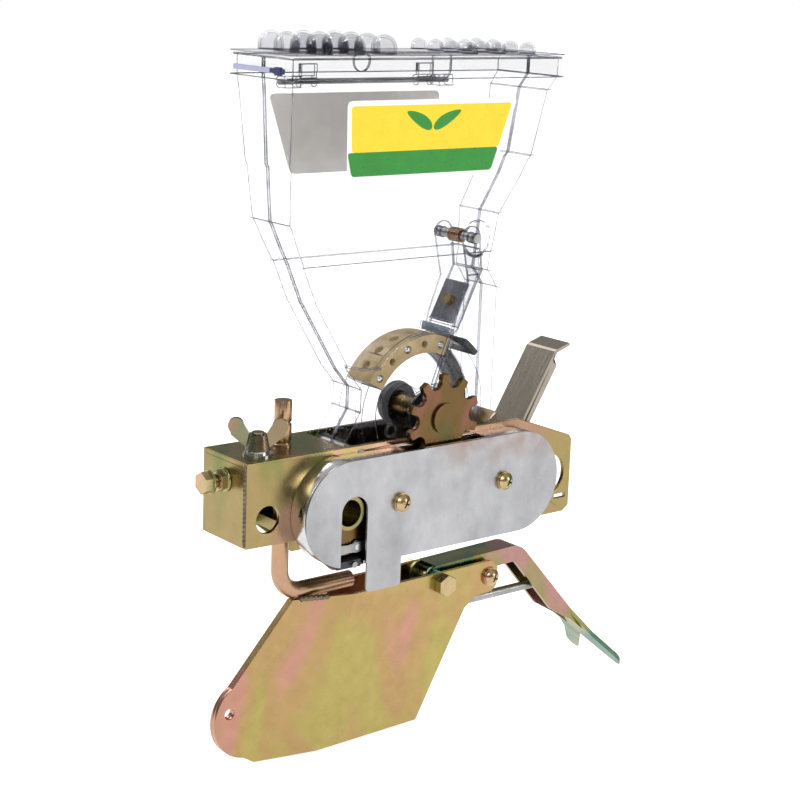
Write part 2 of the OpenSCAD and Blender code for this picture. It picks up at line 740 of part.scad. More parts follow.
// Upper face of the arm seen from the side: level bar, round bend and straight tail
function arm_line(d) = concat([[arm_x - 1, web_z - d], [bend_x, web_z + 1.6 - d]],
    [for (i = [1 : 6]) let (a = 90 - i * tail_a / 6)
        [bend_x + (outer_bend - d) * cos(a), web_z + 1.6 - outer_bend + (outer_bend - d) * sin(a)]]);
tail_start = [bend_x + outer_bend * sin(tail_a), web_z + 1.6 - outer_bend * (1 - cos(tail_a))];
tail_len = 108;
function on_tail(l, d) = [tail_start[0] + l * cos(tail_a) - d * sin(tail_a),
    tail_start[1] - l * sin(tail_a) - d * cos(tail_a)];
module arm_web() polygon(concat(arm_line(0), [on_tail(tail_len, 0), on_tail(tail_len, arm_t)],
    backwards(arm_line(arm_t))));

// Flange that is full round the bend and then runs out along the tail
module arm_flange() polygon(concat(arm_line(0), [on_tail(76, 0), on_tail(76, arm_t), on_tail(62, 4.6),
    on_tail(44, flange_d + 0.9)], backwards(arm_line(flange_d))));

// Plan of the web: parallel bar that flares into a swallow tail with round points
fork_r = 4;
module arm_plan() {
    polygon([[arm_x - 1, -arm_h], [226, -arm_h], [241, -12], [251.7, -20.5], [257.2, -14.6], [243, 0],
        [257.2, 14.6], [251.7, 20.5], [241, 12], [226, arm_h], [arm_x - 1, arm_h]]);
    for (y = [-17.6, 17.6]) translate([254.4, y]) circle(fork_r);
}

module press_arm() color([0.62, 0.62, 0.42]) {
    intersection() {
        plate(-30, 30) arm_web();
        translate([0, 0, -170]) linear_extrude(150) arm_plan();
    }
    for (y = [-arm_h, arm_h - arm_t]) difference() {
        plate(y, y + arm_t) {
            arm_flange();
            translate([arm_x, arm_z]) circle(8.6);
        }
        bar_y(arm_x, arm_z, arm_bolt_r + plate_gap, -30, 30);
    }
}

/* ---- hand screws ---- */

module set_bolt() color(gold) {
    bar_x(0, set_z, screw_r, -26, stem_x - stem_r - 0.1);
    bar_x(0, set_z, 6, -22.6, -21.6);
    translate([-27, 0, set_z]) rotate([0, 90, 0]) cylinder(r = 10 / sqrt(3), h = 4.6, $fn = 6);
}

ear_a = -36;
module wing_screw() color([0.66, 0.56, 0.42]) translate([wing_x, wing_y, 0]) {
    translate([0, 0, 9]) cylinder(r = screw_r, h = 33);
    translate([0, 0, frame_top + 2.7]) cylinder(r1 = 6.4, r2 = 4.8, h = 8);
    rotate([0, 0, ear_a]) for (s = [0, 180]) rotate([0, 0, s]) plate(-1.5, 1.5) {
        polygon([[3, 34], [6, 34.4], [13.4, 40.4], [14.6, 46], [10, 49], [7.6, 46.6], [3, 39]]);
        translate([10.9, 45]) circle(4);
    }
}

frame_front_plate();
frame_back_plate();
frame_top_plate();
frame_end_plate();
frame_welds();
frame_tie_bars();
stem_guide();
lock_nut();
weld_nut();
washers();
chain_case_wall();
chain_case_cover();
cover_screws();
cover_spacer();
chain_guide();
guide_pin();
drive_chain();
idler_axle();
latch_pin();
latch_spring();
drive_hub();
drive_sprocket();
idler_sprocket();
hopper_front();
hopper_back();
front_label();
back_label();
hopper_pivot_pin();
front_bush();
rear_bush();
gate_pin();
gate_spring();
wiper_lip();
latch_lug();
lid();
lid_domes();
lid_end_block();
lid_hinge_pin();
brush_gate();
gate_bracket();
gate_screw();
gate_bristles();
roller_shaft();
roller_sprocket();
roller_wheel();
seed_segment();
blank_segment();
ejector_pins();
latch_lever();
stem_bar();
shoe_front_side();
shoe_back_side();
shoe_welds();
stop_rod();
pivot_bolt();
pivot_sleeve();
stop_screw();
press_arm();
set_bolt();
wing_screw();
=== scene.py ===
"""Seed unit of a hand corn planter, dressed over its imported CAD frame."""
import math

import bpy
import bmesh
import numpy as np
from mathutils import Vector, Matrix


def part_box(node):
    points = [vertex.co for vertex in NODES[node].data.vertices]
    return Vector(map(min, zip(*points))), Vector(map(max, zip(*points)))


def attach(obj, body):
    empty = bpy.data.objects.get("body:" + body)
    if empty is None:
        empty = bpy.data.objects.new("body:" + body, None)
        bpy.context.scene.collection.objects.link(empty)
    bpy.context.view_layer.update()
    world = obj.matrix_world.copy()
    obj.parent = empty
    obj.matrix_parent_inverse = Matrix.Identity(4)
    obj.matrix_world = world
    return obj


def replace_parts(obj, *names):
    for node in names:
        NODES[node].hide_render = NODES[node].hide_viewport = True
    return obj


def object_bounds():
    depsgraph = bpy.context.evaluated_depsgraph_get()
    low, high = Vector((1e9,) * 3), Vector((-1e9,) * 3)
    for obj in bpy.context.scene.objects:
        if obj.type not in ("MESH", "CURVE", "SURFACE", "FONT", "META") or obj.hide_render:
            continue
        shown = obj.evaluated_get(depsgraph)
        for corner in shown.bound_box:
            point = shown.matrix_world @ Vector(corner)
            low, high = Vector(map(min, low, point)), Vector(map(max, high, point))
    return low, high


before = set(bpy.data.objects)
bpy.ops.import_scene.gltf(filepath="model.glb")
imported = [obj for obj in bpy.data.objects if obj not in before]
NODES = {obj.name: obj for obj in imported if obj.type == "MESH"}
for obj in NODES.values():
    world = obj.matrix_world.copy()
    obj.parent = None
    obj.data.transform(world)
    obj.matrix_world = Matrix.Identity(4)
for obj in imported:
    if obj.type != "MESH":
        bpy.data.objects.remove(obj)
cad_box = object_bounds()
MM = 0.001


# ---------------------------------------------------------------- materials

class Nodes:
    """Short names for the shader nodes of one material."""

    def __init__(self, name):
        self.mat = bpy.data.materials.new(name)
        self.mat.use_nodes = True
        self.tree = self.mat.node_tree
        self.bsdf = self.tree.nodes["Principled BSDF"]
        self.coord = self.tree.nodes.new("ShaderNodeTexCoord").outputs["Object"]

    def set(self, **values):
        for key, value in values.items():
            self.bsdf.inputs[key.replace("_", " ")].default_value = value
        return self

    def link(self, a, b):
        self.tree.links.new(a, b)

    def axis(self, letter):
        """One coordinate of the surface point."""
        node = self.tree.nodes.new("ShaderNodeSeparateXYZ")
        self.link(self.coord, node.inputs["Vector"])
        return node.outputs[letter]

    def between(self, value, start, end):
        """Nought up to start, one from end on, and straight between."""
        node = self.tree.nodes.new("ShaderNodeMapRange")
        node.inputs["From Min"].default_value = start
        node.inputs["From Max"].default_value = end
        self.link(value, node.inputs["Value"])
        return node.outputs["Result"]

    def stretched(self, scale):
        node = self.tree.nodes.new("ShaderNodeMapping")
        node.inputs["Scale"].default_value = scale
        self.link(self.coord, node.inputs["Vector"])
        return node.outputs["Vector"]

    def noise(self, scale, detail=4.0, rough=0.55, vector=None, distortion=0.0):
        node = self.tree.nodes.new("ShaderNodeTexNoise")
        node.inputs["Scale"].default_value = scale
        node.inputs["Detail"].default_value = detail
        node.inputs["Roughness"].default_value = rough
        node.inputs["Distortion"].default_value = distortion
        self.link(vector or self.coord, node.inputs["Vector"])
        return node.outputs["Fac"]

    def cells(self, scale, vector=None):
        node = self.tree.nodes.new("ShaderNodeTexVoronoi")
        node.inputs["Scale"].default_value = scale
        self.link(vector or self.coord, node.inputs["Vector"])
        return node.outputs["Color"]

    def ramp(self, fac, stops):
        node = self.tree.nodes.new("ShaderNodeValToRGB")
        band = node.color_ramp
        while len(band.elements) < len(stops):
            band.elements.new(0.5)
        for element, (place, colour) in zip(band.elements, stops):
            element.position = place
            element.color = (*colour, 1.0)
        self.link(fac, node.inputs["Fac"])
        return node.outputs["Color"]

    def spread(self, fac, low, high):
        """Carries a value between 0.3 and 0.7 to the span from low to high."""
        node = self.tree.nodes.new("ShaderNodeMapRange")
        node.inputs["From Min"].default_value = 0.3
        node.inputs["From Max"].default_value = 0.7
        node.inputs["To Min"].default_value = low
        node.inputs["To Max"].default_value = high
        self.link(fac, node.inputs["Value"])
        return node.outputs["Result"]

    def mix(self, fac, a, b, how="MIX"):
        node = self.tree.nodes.new("ShaderNodeMix")
        node.data_type = "RGBA"
        node.blend_type = how
        for value, socket in ((fac, node.inputs["Factor"]), (a, node.inputs["A"]), (b, node.inputs["B"])):
            if isinstance(value, (int, float)):
                socket.default_value = value
            elif isinstance(value, tuple):
                socket.default_value = (*value, 1.0)
            else:
                self.link(value, socket)
        return node.outputs["Result"]

    def colour(self, socket):
        self.link(socket, self.bsdf.inputs["Base Color"])
        return self

    def rough(self, socket):
        self.link(socket, self.bsdf.inputs["Roughness"])
        return self

    def bump(self, height, depth, strength=1.0):
        node = self.tree.nodes.new("ShaderNodeBump")
        node.inputs["Distance"].default_value = depth
        node.inputs["Strength"].default_value = strength
        self.link(height, node.inputs["Height"])
        self.link(node.outputs["Normal"], self.bsdf.inputs["Normal"])
        return self


def passivated(name, base, pink, green, rough=(0.22, 0.36), drift=15):
    """Yellow zinc: a metal whose colour drifts in tall soft bands between straw, pink and green."""
    n = Nodes(name).set(Metallic=1.0)
    bands = n.noise(drift, 2, 0.45, n.stretched((1, 1, 0.45)), 0.7)
    tone = n.ramp(bands, [(0.38, green), (0.47, base), (0.53, base), (0.62, pink)])
    cloud = n.ramp(n.noise(140, 4), [(0.3, (0.86, 0.86, 0.86)), (0.7, (1.0, 1.0, 1.0))])
    n.colour(n.mix(1.0, tone, cloud, "MULTIPLY"))
    n.rough(n.spread(n.noise(70, 4), *rough))
    return n.bump(n.noise(900, 3), 0.00004).mat


def satin(name, dark, light, rough, spangle=260, bump=0.00004):
    """Sheet steel with a fine spangle and cloudy patches."""
    n = Nodes(name).set(Metallic=1.0)
    patch = n.ramp(n.noise(55, 6, 0.6), [(0.32, dark), (0.68, light)])
    crystal = n.ramp(n.cells(spangle), [(0.0, (0.86, 0.86, 0.86)), (1.0, (1.0, 1.0, 1.0))])
    n.colour(n.mix(0.6, patch, crystal, "MULTIPLY"))
    n.rough(n.spread(n.noise(120, 5), *rough))
    return n.bump(n.noise(700, 4), bump).mat


def sheet_cover(name):
    """Mottled galvanised sheet with a painted brown reflection along its upper edge towards +X, broken up by
    noise.
    """
    n = Nodes(name).set(Metallic=1.0)
    mottle = n.noise(45, 5, 0.6, n.stretched((1, 1, 0.6)))
    patch = n.ramp(mottle, [(0.34, (0.3, 0.3, 0.31)), (0.66, (0.42, 0.42, 0.43))])
    # painted reflection: brown mixed in above Z 10 to 27 mm and past X 90 to 120 mm, broken up by noise
    painted_reflection_zone = n.mix(1.0, n.between(n.axis("Z"), 0.010, 0.027), n.between(n.axis("X"), 0.09, 0.12), "MULTIPLY")
    broken = n.ramp(n.noise(60, 3), [(0.35, (0.1, 0.1, 0.1)), (0.6, (1, 1, 1))])
    painted_reflection = n.mix(1.0, painted_reflection_zone, broken, "MULTIPLY")
    n.colour(n.mix(painted_reflection, patch, (0.3, 0.21, 0.17)))
    n.rough(n.spread(n.noise(120, 5), 0.24, 0.42))
    return n.bump(n.noise(700, 4), 0.00003).mat


def brushed(name, colour, rough, scale=(1, 40, 1)):
    """Metal with drawn lines along one axis."""
    n = Nodes(name).set(Metallic=1.0)
    lines = n.noise(60, 4, 0.6, n.stretched(scale))
    shade = tuple(0.8 * c for c in colour)
    n.colour(n.ramp(lines, [(0.35, shade), (0.65, colour)]))
    n.rough(n.spread(lines, *rough))
    return n.bump(lines, 0.00003).mat


def moulded(name, dark, light, rough, grain=1400, bump=0.00003, **more):
    """Moulded plastic or rubber: two close shades and a fine grain."""
    n = Nodes(name).set(**more)
    n.colour(n.ramp(n.noise(120, 5), [(0.35, dark), (0.65, light)]))
    n.rough(n.spread(n.noise(300, 4), *rough))
    return n.bump(n.noise(grain, 2), bump).mat


def clear_plastic(name, tint, alpha, edge, edge_alpha=0.85):
    """Clear polycarbonate: open face on, and a darker lilac glass where a wall is seen edge on."""
    n = Nodes(name).set(Roughness=0.03, IOR=1.3)
    n.bsdf.inputs["Transmission Weight"].default_value = 1.0
    facing = n.tree.nodes.new("ShaderNodeLayerWeight")
    facing.inputs["Blend"].default_value = 0.25
    n.colour(n.mix(facing.outputs["Facing"], tint, edge))
    opening = n.tree.nodes.new("ShaderNodeMapRange")
    opening.inputs["From Min"].default_value = 0.28
    opening.inputs["From Max"].default_value = 0.9
    opening.inputs["To Min"].default_value = alpha
    opening.inputs["To Max"].default_value = edge_alpha
    n.link(facing.outputs["Facing"], opening.inputs["Value"])
    n.link(opening.outputs["Result"], n.bsdf.inputs["Alpha"])
    return n.bump(n.noise(25, 2), 0.0002, 0.3).mat


def end_slide(name):
    """Lilac strip that ends in a navy block at its near end."""
    n = Nodes(name).set(Roughness=0.15)
    step = n.between(n.axis("Y"), -0.0118, -0.0112)
    n.colour(n.ramp(step, [(0.0, (0.02, 0.025, 0.1)), (1.0, (0.42, 0.42, 0.62))]))
    return n.bump(n.noise(900, 2), 0.00002).mat


M = {
    "zinc_gold": passivated("zinc_gold", (0.33, 0.25, 0.105), (0.36, 0.22, 0.14), (0.2, 0.22, 0.07),
                            (0.2, 0.34), 19),
    "zinc_copper": passivated("zinc_copper", (0.15, 0.09, 0.035), (0.2, 0.095, 0.06), (0.11, 0.09, 0.035),
                              (0.2, 0.34), 50),
    "stem_zinc": passivated("stem_zinc", (0.46, 0.3, 0.17), (0.5, 0.28, 0.21), (0.34, 0.3, 0.15)),
    "zinc_straw": passivated("zinc_straw", (0.48, 0.36, 0.19), (0.54, 0.33, 0.24), (0.34, 0.33, 0.16),
                             (0.18, 0.3), 60),
    "shoe_zinc": passivated("shoe_zinc", (0.42, 0.28, 0.12), (0.48, 0.25, 0.18), (0.4, 0.33, 0.11),
                            (0.2, 0.32), 21),
    "green_zinc": passivated("green_zinc", (0.26, 0.25, 0.09), (0.38, 0.21, 0.18), (0.08, 0.17, 0.12),
                             (0.18, 0.3), 30),
    "wing_zinc": passivated("wing_zinc", (0.26, 0.2, 0.12), (0.3, 0.19, 0.14), (0.2, 0.2, 0.12),
                            (0.2, 0.34), 60),
    "weld": satin("weld", (0.05, 0.04, 0.035), (0.26, 0.2, 0.14), (0.35, 0.6), 500, 0.0002),
    "nickel": satin("nickel", (0.5, 0.5, 0.51), (0.68, 0.68, 0.69), (0.12, 0.24), 200, 0.00002),
    "galvanised": sheet_cover("galvanised"),
    "dark_bracket": satin("dark_bracket", (0.12, 0.12, 0.14), (0.3, 0.3, 0.34), (0.2, 0.34), 300),
    "steel": satin("steel", (0.2, 0.2, 0.2), (0.38, 0.38, 0.37), (0.25, 0.42), 400),
    "stainless": brushed("stainless", (0.33, 0.29, 0.24), (0.22, 0.34)),
    "brass": satin("brass", (0.22, 0.15, 0.06), (0.42, 0.29, 0.12), (0.2, 0.34), 400),
    "bronze": satin("bronze", (0.16, 0.09, 0.05), (0.34, 0.2, 0.11), (0.2, 0.36), 500),
    "clear": clear_plastic("clear", (0.3, 0.3, 0.34), 0.05, (0.2, 0.2, 0.28), 0.65),
    "clear_wheel": clear_plastic("clear_wheel", (0.2, 0.2, 0.24), 0.015, (0.15, 0.15, 0.22), 0.4),
    "clear_thick": clear_plastic("clear_thick", (0.3, 0.3, 0.42), 0.13, (0.12, 0.12, 0.22), 0.85),
    "clear_edge": clear_plastic("clear_edge", (0.16, 0.16, 0.24), 0.42, (0.06, 0.06, 0.11), 0.8),
    "end_slide": end_slide("end_slide"),
    "black_plastic": moulded("black_plastic", (0.008, 0.008, 0.011), (0.02, 0.02, 0.026), (0.3, 0.45)),
    "rubber": moulded("rubber", (0.01, 0.01, 0.012), (0.022, 0.022, 0.024), (0.5, 0.7)),
    "ivory": moulded("ivory", (0.36, 0.25, 0.11), (0.5, 0.38, 0.2), (0.34, 0.5)),
    "bristle": moulded("bristle", (0.2, 0.24, 0.32), (0.34, 0.4, 0.5), (0.3, 0.45)),
    "label_white": moulded("label_white", (0.84, 0.84, 0.84), (0.88, 0.88, 0.88), (0.3, 0.36)),
    "label_yellow": moulded("label_yellow", (0.84, 0.57, 0.0), (0.88, 0.61, 0.002), (0.26, 0.32)),
    "label_green": moulded("label_green", (0.0, 0.2, 0.004), (0.002, 0.23, 0.008), (0.26, 0.32)),
    "label_back": moulded("label_back", (0.5, 0.48, 0.45), (0.56, 0.54, 0.5), (0.5, 0.6)),
}

WEARS = {
    "zinc_gold": ["frame_front_plate", "frame_back_plate", "frame_top_plate", "frame_end_plate",
                  "frame_tie_bars", "stem_guide", "drive_hub", "idler_sprocket"],
    "zinc_straw": ["lock_nut", "weld_nut", "cover_screws", "pivot_bolt", "stop_screw", "set_bolt"],
    "zinc_copper": ["roller_shaft", "roller_sprocket", "drive_sprocket"],
    "stem_zinc": ["stem_bar"],
    "shoe_zinc": ["shoe_front_side", "shoe_back_side"],
    "green_zinc": ["press_arm"],
    "wing_zinc": ["wing_screw"],
    "weld": ["frame_welds", "shoe_welds"],
    "nickel": ["chain_case_wall", "washers", "ejector_pins", "pivot_sleeve"],
    "dark_bracket": ["gate_bracket"],
    "galvanised": ["chain_case_cover"],
    "steel": ["cover_spacer", "guide_pin", "drive_chain", "idler_axle", "latch_pin", "latch_spring",
              "hopper_pivot_pin", "gate_pin", "lid_hinge_pin", "stop_rod"],
    "stainless": ["latch_lever"],
    "brass": ["gate_screw"],
    "bronze": ["gate_spring"],
    "clear": ["hopper_front", "hopper_back", "latch_lug", "lid"],
    "clear_wheel": ["roller_wheel"],
    "clear_thick": ["brush_gate", "lid_domes"],
    "label_white": ["front_label", "back_label"],
    "black_plastic": ["front_bush", "rear_bush", "chain_guide", "blank_segment"],
    "rubber": ["wiper_lip"],
    "ivory": ["seed_segment"],
    "end_slide": ["lid_end_block"],
    "bristle": ["gate_bristles"],
}
for finish, names in WEARS.items():
    for name in names:
        NODES[name].data.materials.clear()
        NODES[name].data.materials.append(M[finish])


# ---------------------------------------------------------------- making pieces

def piece(name, verts, faces, finish, body, slot, smooth=True):
    """A mesh object in metres that rides on a body. Its faces are turned outwards."""
    mesh = bpy.data.meshes.new(name)
    mesh.from_pydata(np.asarray(verts, float).tolist(), [], [tuple(int(i) for i in f) for f in faces])
    work = bmesh.new()
    work.from_mesh(mesh)
    bmesh.ops.remove_doubles(work, verts=work.verts, dist=1e-7)
    bmesh.ops.recalc_face_normals(work, faces=work.faces)
    work.to_mesh(mesh)
    work.free()
    mesh.polygons.foreach_set("use_smooth", np.full(len(mesh.polygons), smooth))
    mesh.materials.append(M[finish])
    obj = bpy.data.objects.new(name, mesh)
    bpy.context.scene.collection.objects.link(obj)
    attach(obj, body)
    return obj


def grid_faces(rows, cols, close_cols=True):
    """Quads of a grid of rows by cols points, whose columns run round if close_cols is true."""
    r, c = np.meshgrid(np.arange(rows - 1), np.arange(cols if close_cols else cols - 1), indexing="ij")
    d = (c + 1) % cols
    return np.stack([r * cols + c, r * cols + d, (r + 1) * cols + d, (r + 1) * cols + c], -1).reshape(-1, 4)


def tube(path, radius, sides=12):
    """A circle of the given radii carried along a path, with flat ends. The circle's plane is square to the
    path, and its first axis is the part of a fixed direction that is square to the path."""
    path = np.asarray(path, float)
    radius = np.broadcast_to(np.asarray(radius, float), (len(path),))
    along = np.gradient(path, axis=0)
    along /= np.linalg.norm(along, axis=1, keepdims=True)
    fixed = np.array([0.31, 0.2, 0.93])
    first = fixed - along * (along @ fixed)[:, None]
    first /= np.linalg.norm(first, axis=1, keepdims=True)
    second = np.cross(along, first)
    turn = np.linspace(0, 2 * np.pi, sides, endpoint=False)
    ring = (first[:, None] * np.cos(turn)[None, :, None] + second[:, None] * np.sin(turn)[None, :, None])
    verts = (path[:, None] + radius[:, None, None] * ring).reshape(-1, 3)
    faces = [tuple(f) for f in grid_faces(len(path), sides)]
    faces.append(tuple(range(sides)))
    faces.append(tuple(range(len(verts) - sides, len(verts))))
    return verts, faces


def joined(parts):
    """Several (verts, faces) put into one."""
    verts, faces, start = [], [], 0
    for v, f in parts:
        verts.append(np.asarray(v, float))
        faces += [tuple(int(i) + start for i in g) for g in f]
        start += len(v)
    return np.concatenate(verts), faces


def prism(outline, low, high, place):
    """A flat outline given two depths and carried into space by place(u, v, depth)."""
    outline = np.asarray(outline, float)
    n = len(outline)
    verts = [place(outline[:, 0], outline[:, 1], np.full(n, d)) for d in (low, high)]
    faces = [tuple(f) for f in grid_faces(2, n)] + [tuple(range(n)), tuple(range(n, 2 * n))]
    return np.concatenate(verts), faces


def rounded_outline(corners, radius, steps=8):
    """A convex outline whose corners become quadratic arcs that start and end radius from each corner."""
    pts = np.asarray(corners, float)
    before, after = np.roll(pts, 1, 0), np.roll(pts, -1, 0)
    a = pts + (before - pts) / np.linalg.norm(before - pts, axis=1, keepdims=True) * radius
    b = pts + (after - pts) / np.linalg.norm(after - pts, axis=1, keepdims=True) * radius
    t = np.linspace(0, 1, steps)[None, :, None]
    arc = (1 - t) ** 2 * a[:, None] + 2 * t * (1 - t) * pts[:, None] + t ** 2 * b[:, None]
    return arc.reshape(-1, 2)


def mid(node):
    """The centre of a CAD node's box."""
    low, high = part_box(node)
    return (low + high) / 2


# ---------------------------------------------------------------- crisp edges on the CAD nodes

def soften(names, width, steps=2):
    """Rounds the sharp edges of CAD nodes by width, so that they catch light."""
    for name in names:
        weld = NODES[name].modifiers.new("weld", "WELD")
        weld.merge_threshold = 1e-6
        bevel = NODES[name].modifiers.new("edge", "BEVEL")
        bevel.width = width
        bevel.segments = steps
        bevel.limit_method = "ANGLE"
        bevel.angle_limit = math.radians(40)
        bevel.harden_normals = True


soften(["frame_front_plate", "frame_back_plate", "frame_top_plate", "chain_case_cover", "chain_case_wall",
        "shoe_front_side", "shoe_back_side", "press_arm", "latch_lever"], 0.35 * MM)
soften(["lid", "seed_segment", "blank_segment", "chain_guide", "roller_sprocket", "drive_sprocket",
        "lid_end_block", "pivot_bolt", "stop_screw", "set_bolt", "lock_nut", "stem_bar"], 0.4 * MM)


# ---------------------------------------------------------------- hopper shells with rounded corners

def rounded_shell(node, radius):
    """A copy of a hopper shell whose outer upright corners are rounded. A corner vertex is one that is both
    furthest out across the hopper and furthest left or right of all vertices at its height."""
    work = bmesh.new()
    work.from_mesh(NODES[node].data)
    bmesh.ops.remove_doubles(work, verts=work.verts, dist=1e-6)
    bmesh.ops.dissolve_limit(work, angle_limit=0.002, verts=work.verts, edges=work.edges)
    levels = {}
    for v in work.verts:
        levels.setdefault(round(v.co.z, 5), []).append(v)
    corner = set()
    for row in levels.values():
        reach = max(abs(v.co.y) for v in row)
        left, right = min(v.co.x for v in row), max(v.co.x for v in row)
        corner |= {v.index for v in row if abs(v.co.y) > reach - 2e-5 and reach > 0.012
                   and (v.co.x < left + 2e-5 or v.co.x > right - 2e-5)}
    edges = []
    for edge in work.edges:
        a, b = edge.verts
        if a.index in corner and b.index in corner and abs(a.co.z - b.co.z) > 0.8 * MM:
            if abs(a.co.x - b.co.x) < 30 * MM:
                edges.append(edge)
    bmesh.ops.bevel(work, geom=edges, offset=radius, segments=5, profile=0.5, affect="EDGES",
                    clamp_overlap=True)
    mesh = bpy.data.meshes.new(node + "_rounded")
    work.to_mesh(mesh)
    work.free()
    mesh.materials.clear()
    mesh.materials.append(M["clear"])
    obj = bpy.data.objects.new(node + "_rounded", mesh)
    bpy.context.scene.collection.objects.link(obj)
    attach(obj, "hopper")
    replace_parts(obj, node)
    return obj


def edge_rods(name, mesh, radius, body, slot):
    """A rod under each sharp edge of a clear moulding, where the rounded corner bends light and looks dark.
    Its axis is the edge moved inwards by the radius along the normals of both faces that meet there."""
    work = bmesh.new()
    work.from_mesh(mesh)
    bmesh.ops.remove_doubles(work, verts=work.verts, dist=1e-6)
    bmesh.ops.dissolve_limit(work, angle_limit=0.002, verts=work.verts, edges=work.edges)
    parts = []
    for edge in work.edges:
        if len(edge.link_faces) != 2 or edge.calc_length() < 0.3 * MM:
            continue
        first, second = (face.normal for face in edge.link_faces)
        if first.dot(second) > math.cos(math.radians(28)):
            continue
        ends = [np.array(v.co - (first + second) * radius) for v in edge.verts]
        parts.append(tube(ends, radius, 5))
    work.free()
    return piece(name, *joined(parts), "clear_edge", body, slot)


for shell in ("hopper_front", "hopper_back"):
    edge_rods(shell + "_edges", rounded_shell(shell, 3.6 * MM).data, 0.28 * MM, "hopper", "clear")
for node, body in (("lid", "lid"), ("lid_domes", "lid"), ("brush_gate", "gate"), ("roller_wheel", "roller")):
    edge_rods(node + "_edges", NODES[node].data, 0.24 * MM, body, "clear")


# ---------------------------------------------------------------- labels

def label(node, side, name):
    """A rounded sticker sized and placed from the CAD label's box: on the front, white with a yellow field
    over a green one and a sprout of two leaves; on the back, a plain sheet.
    It lies on the slanted wall: depth runs out from the wall along side, and the wall's lean is a fixed slope
    of 0.105."""
    low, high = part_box(node)
    lean = math.atan(0.105)
    centre = (low + high) / 2
    half_w, half_h = (high.x - low.x) / 2, (high.z - low.z) / 2 / math.cos(lean)

    def place(u, v, d):
        """u runs along the wall, v up its slope and d out of it."""
        up = np.array([0, side * math.sin(lean), math.cos(lean)])
        out = np.array([0, side * math.cos(lean), -math.sin(lean)])
        base = np.array([centre.x, side * (max(abs(low.y), abs(high.y)) - 2.28 * MM), centre.z])
        return (base + u[:, None] * np.array([-side, 0, 0]) + v[:, None] * up + d[:, None] * out)

    slant = 11 * MM

    left_slant = 4 * MM

    def field(inset, bottom, top):
        """Four corners between two heights. Each end moves inwards with depth below the top."""
        depth = (half_h - np.array([bottom, top])) / (2 * half_h)
        left = -half_w + left_slant * depth[0] + inset
        right = half_w - slant * depth - inset
        return [(left, bottom), (right[0], bottom), (right[1], top), (-half_w + inset, top)]

    border = 2.6 * MM
    split = -half_h + 14.6 * MM
    layers = []
    sheet = prism(rounded_outline(field(0, -half_h, half_h), 3.4 * MM), -0.3 * MM, 0.02 * MM, place)
    paper = "label_white" if side < 0 else "label_back"
    layers.append(piece(name + "_sheet", *sheet, paper, "hopper", "label", smooth=False))
    if side < 0:
        top = rounded_outline(field(border, split, half_h - border), 2.0 * MM)
        low_field = rounded_outline(field(border, -half_h + border, split - 0.01 * MM), 2.0 * MM)
        layers.append(piece(name + "_yellow", *prism(top, 0, 0.06 * MM, place), "label_yellow", "hopper",
                            "label", smooth=False))
        layers.append(piece(name + "_green", *prism(low_field, 0, 0.06 * MM, place), "label_green", "hopper",
                            "label", smooth=False))
        turn = np.linspace(0, 2 * np.pi, 40, endpoint=False)
        for way in (-1, 1):
            u = way * (9 * MM + 8.5 * MM * np.cos(turn))
            v = 6 * MM + 3.2 * MM * np.sin(turn) * (1 - 0.35 * np.cos(turn)) + 0.45 * np.abs(u)
            leaf = prism(np.stack([u, v], 1), 0.05 * MM, 0.1 * MM, place)
            layers.append(piece(f"{name}_leaf_{way + 1}", *leaf, "label_green", "hopper", "label",
                                smooth=False))
    for layer in layers:
        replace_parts(layer, node)


label("front_label", -1, "front_sticker")
label("back_label", 1, "back_sticker")


# ---------------------------------------------------------------- springs

def coil(name, node, turns, wire, finish, body):
    """A helix along Y that fills a CAD spring's box."""
    low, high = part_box(node)
    centre = (low + high) / 2
    radius = (high.x - low.x) / 2 - wire
    t = np.linspace(0, 1, int(turns * 28) + 1)
    angle = 2 * np.pi * turns * t
    path = np.stack([centre.x + radius * np.cos(angle), low.y + wire + (high.y - low.y - 2 * wire) * t,
                     centre.z + radius * np.sin(angle)], 1)
    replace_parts(piece(name, *tube(path, wire, 10), finish, body, finish), node)


coil("gate_coil", "gate_spring", 7, 0.55 * MM, "bronze", "hopper")
coil("latch_coil", "latch_spring", 10, 0.6 * MM, "steel", "frame")


# ---------------------------------------------------------------- chain

PITCH = 12.7 * MM
TEETH = 10
RUN_PINS = 8
SPROCKET_R = PITCH / (2 * math.sin(math.pi / TEETH))


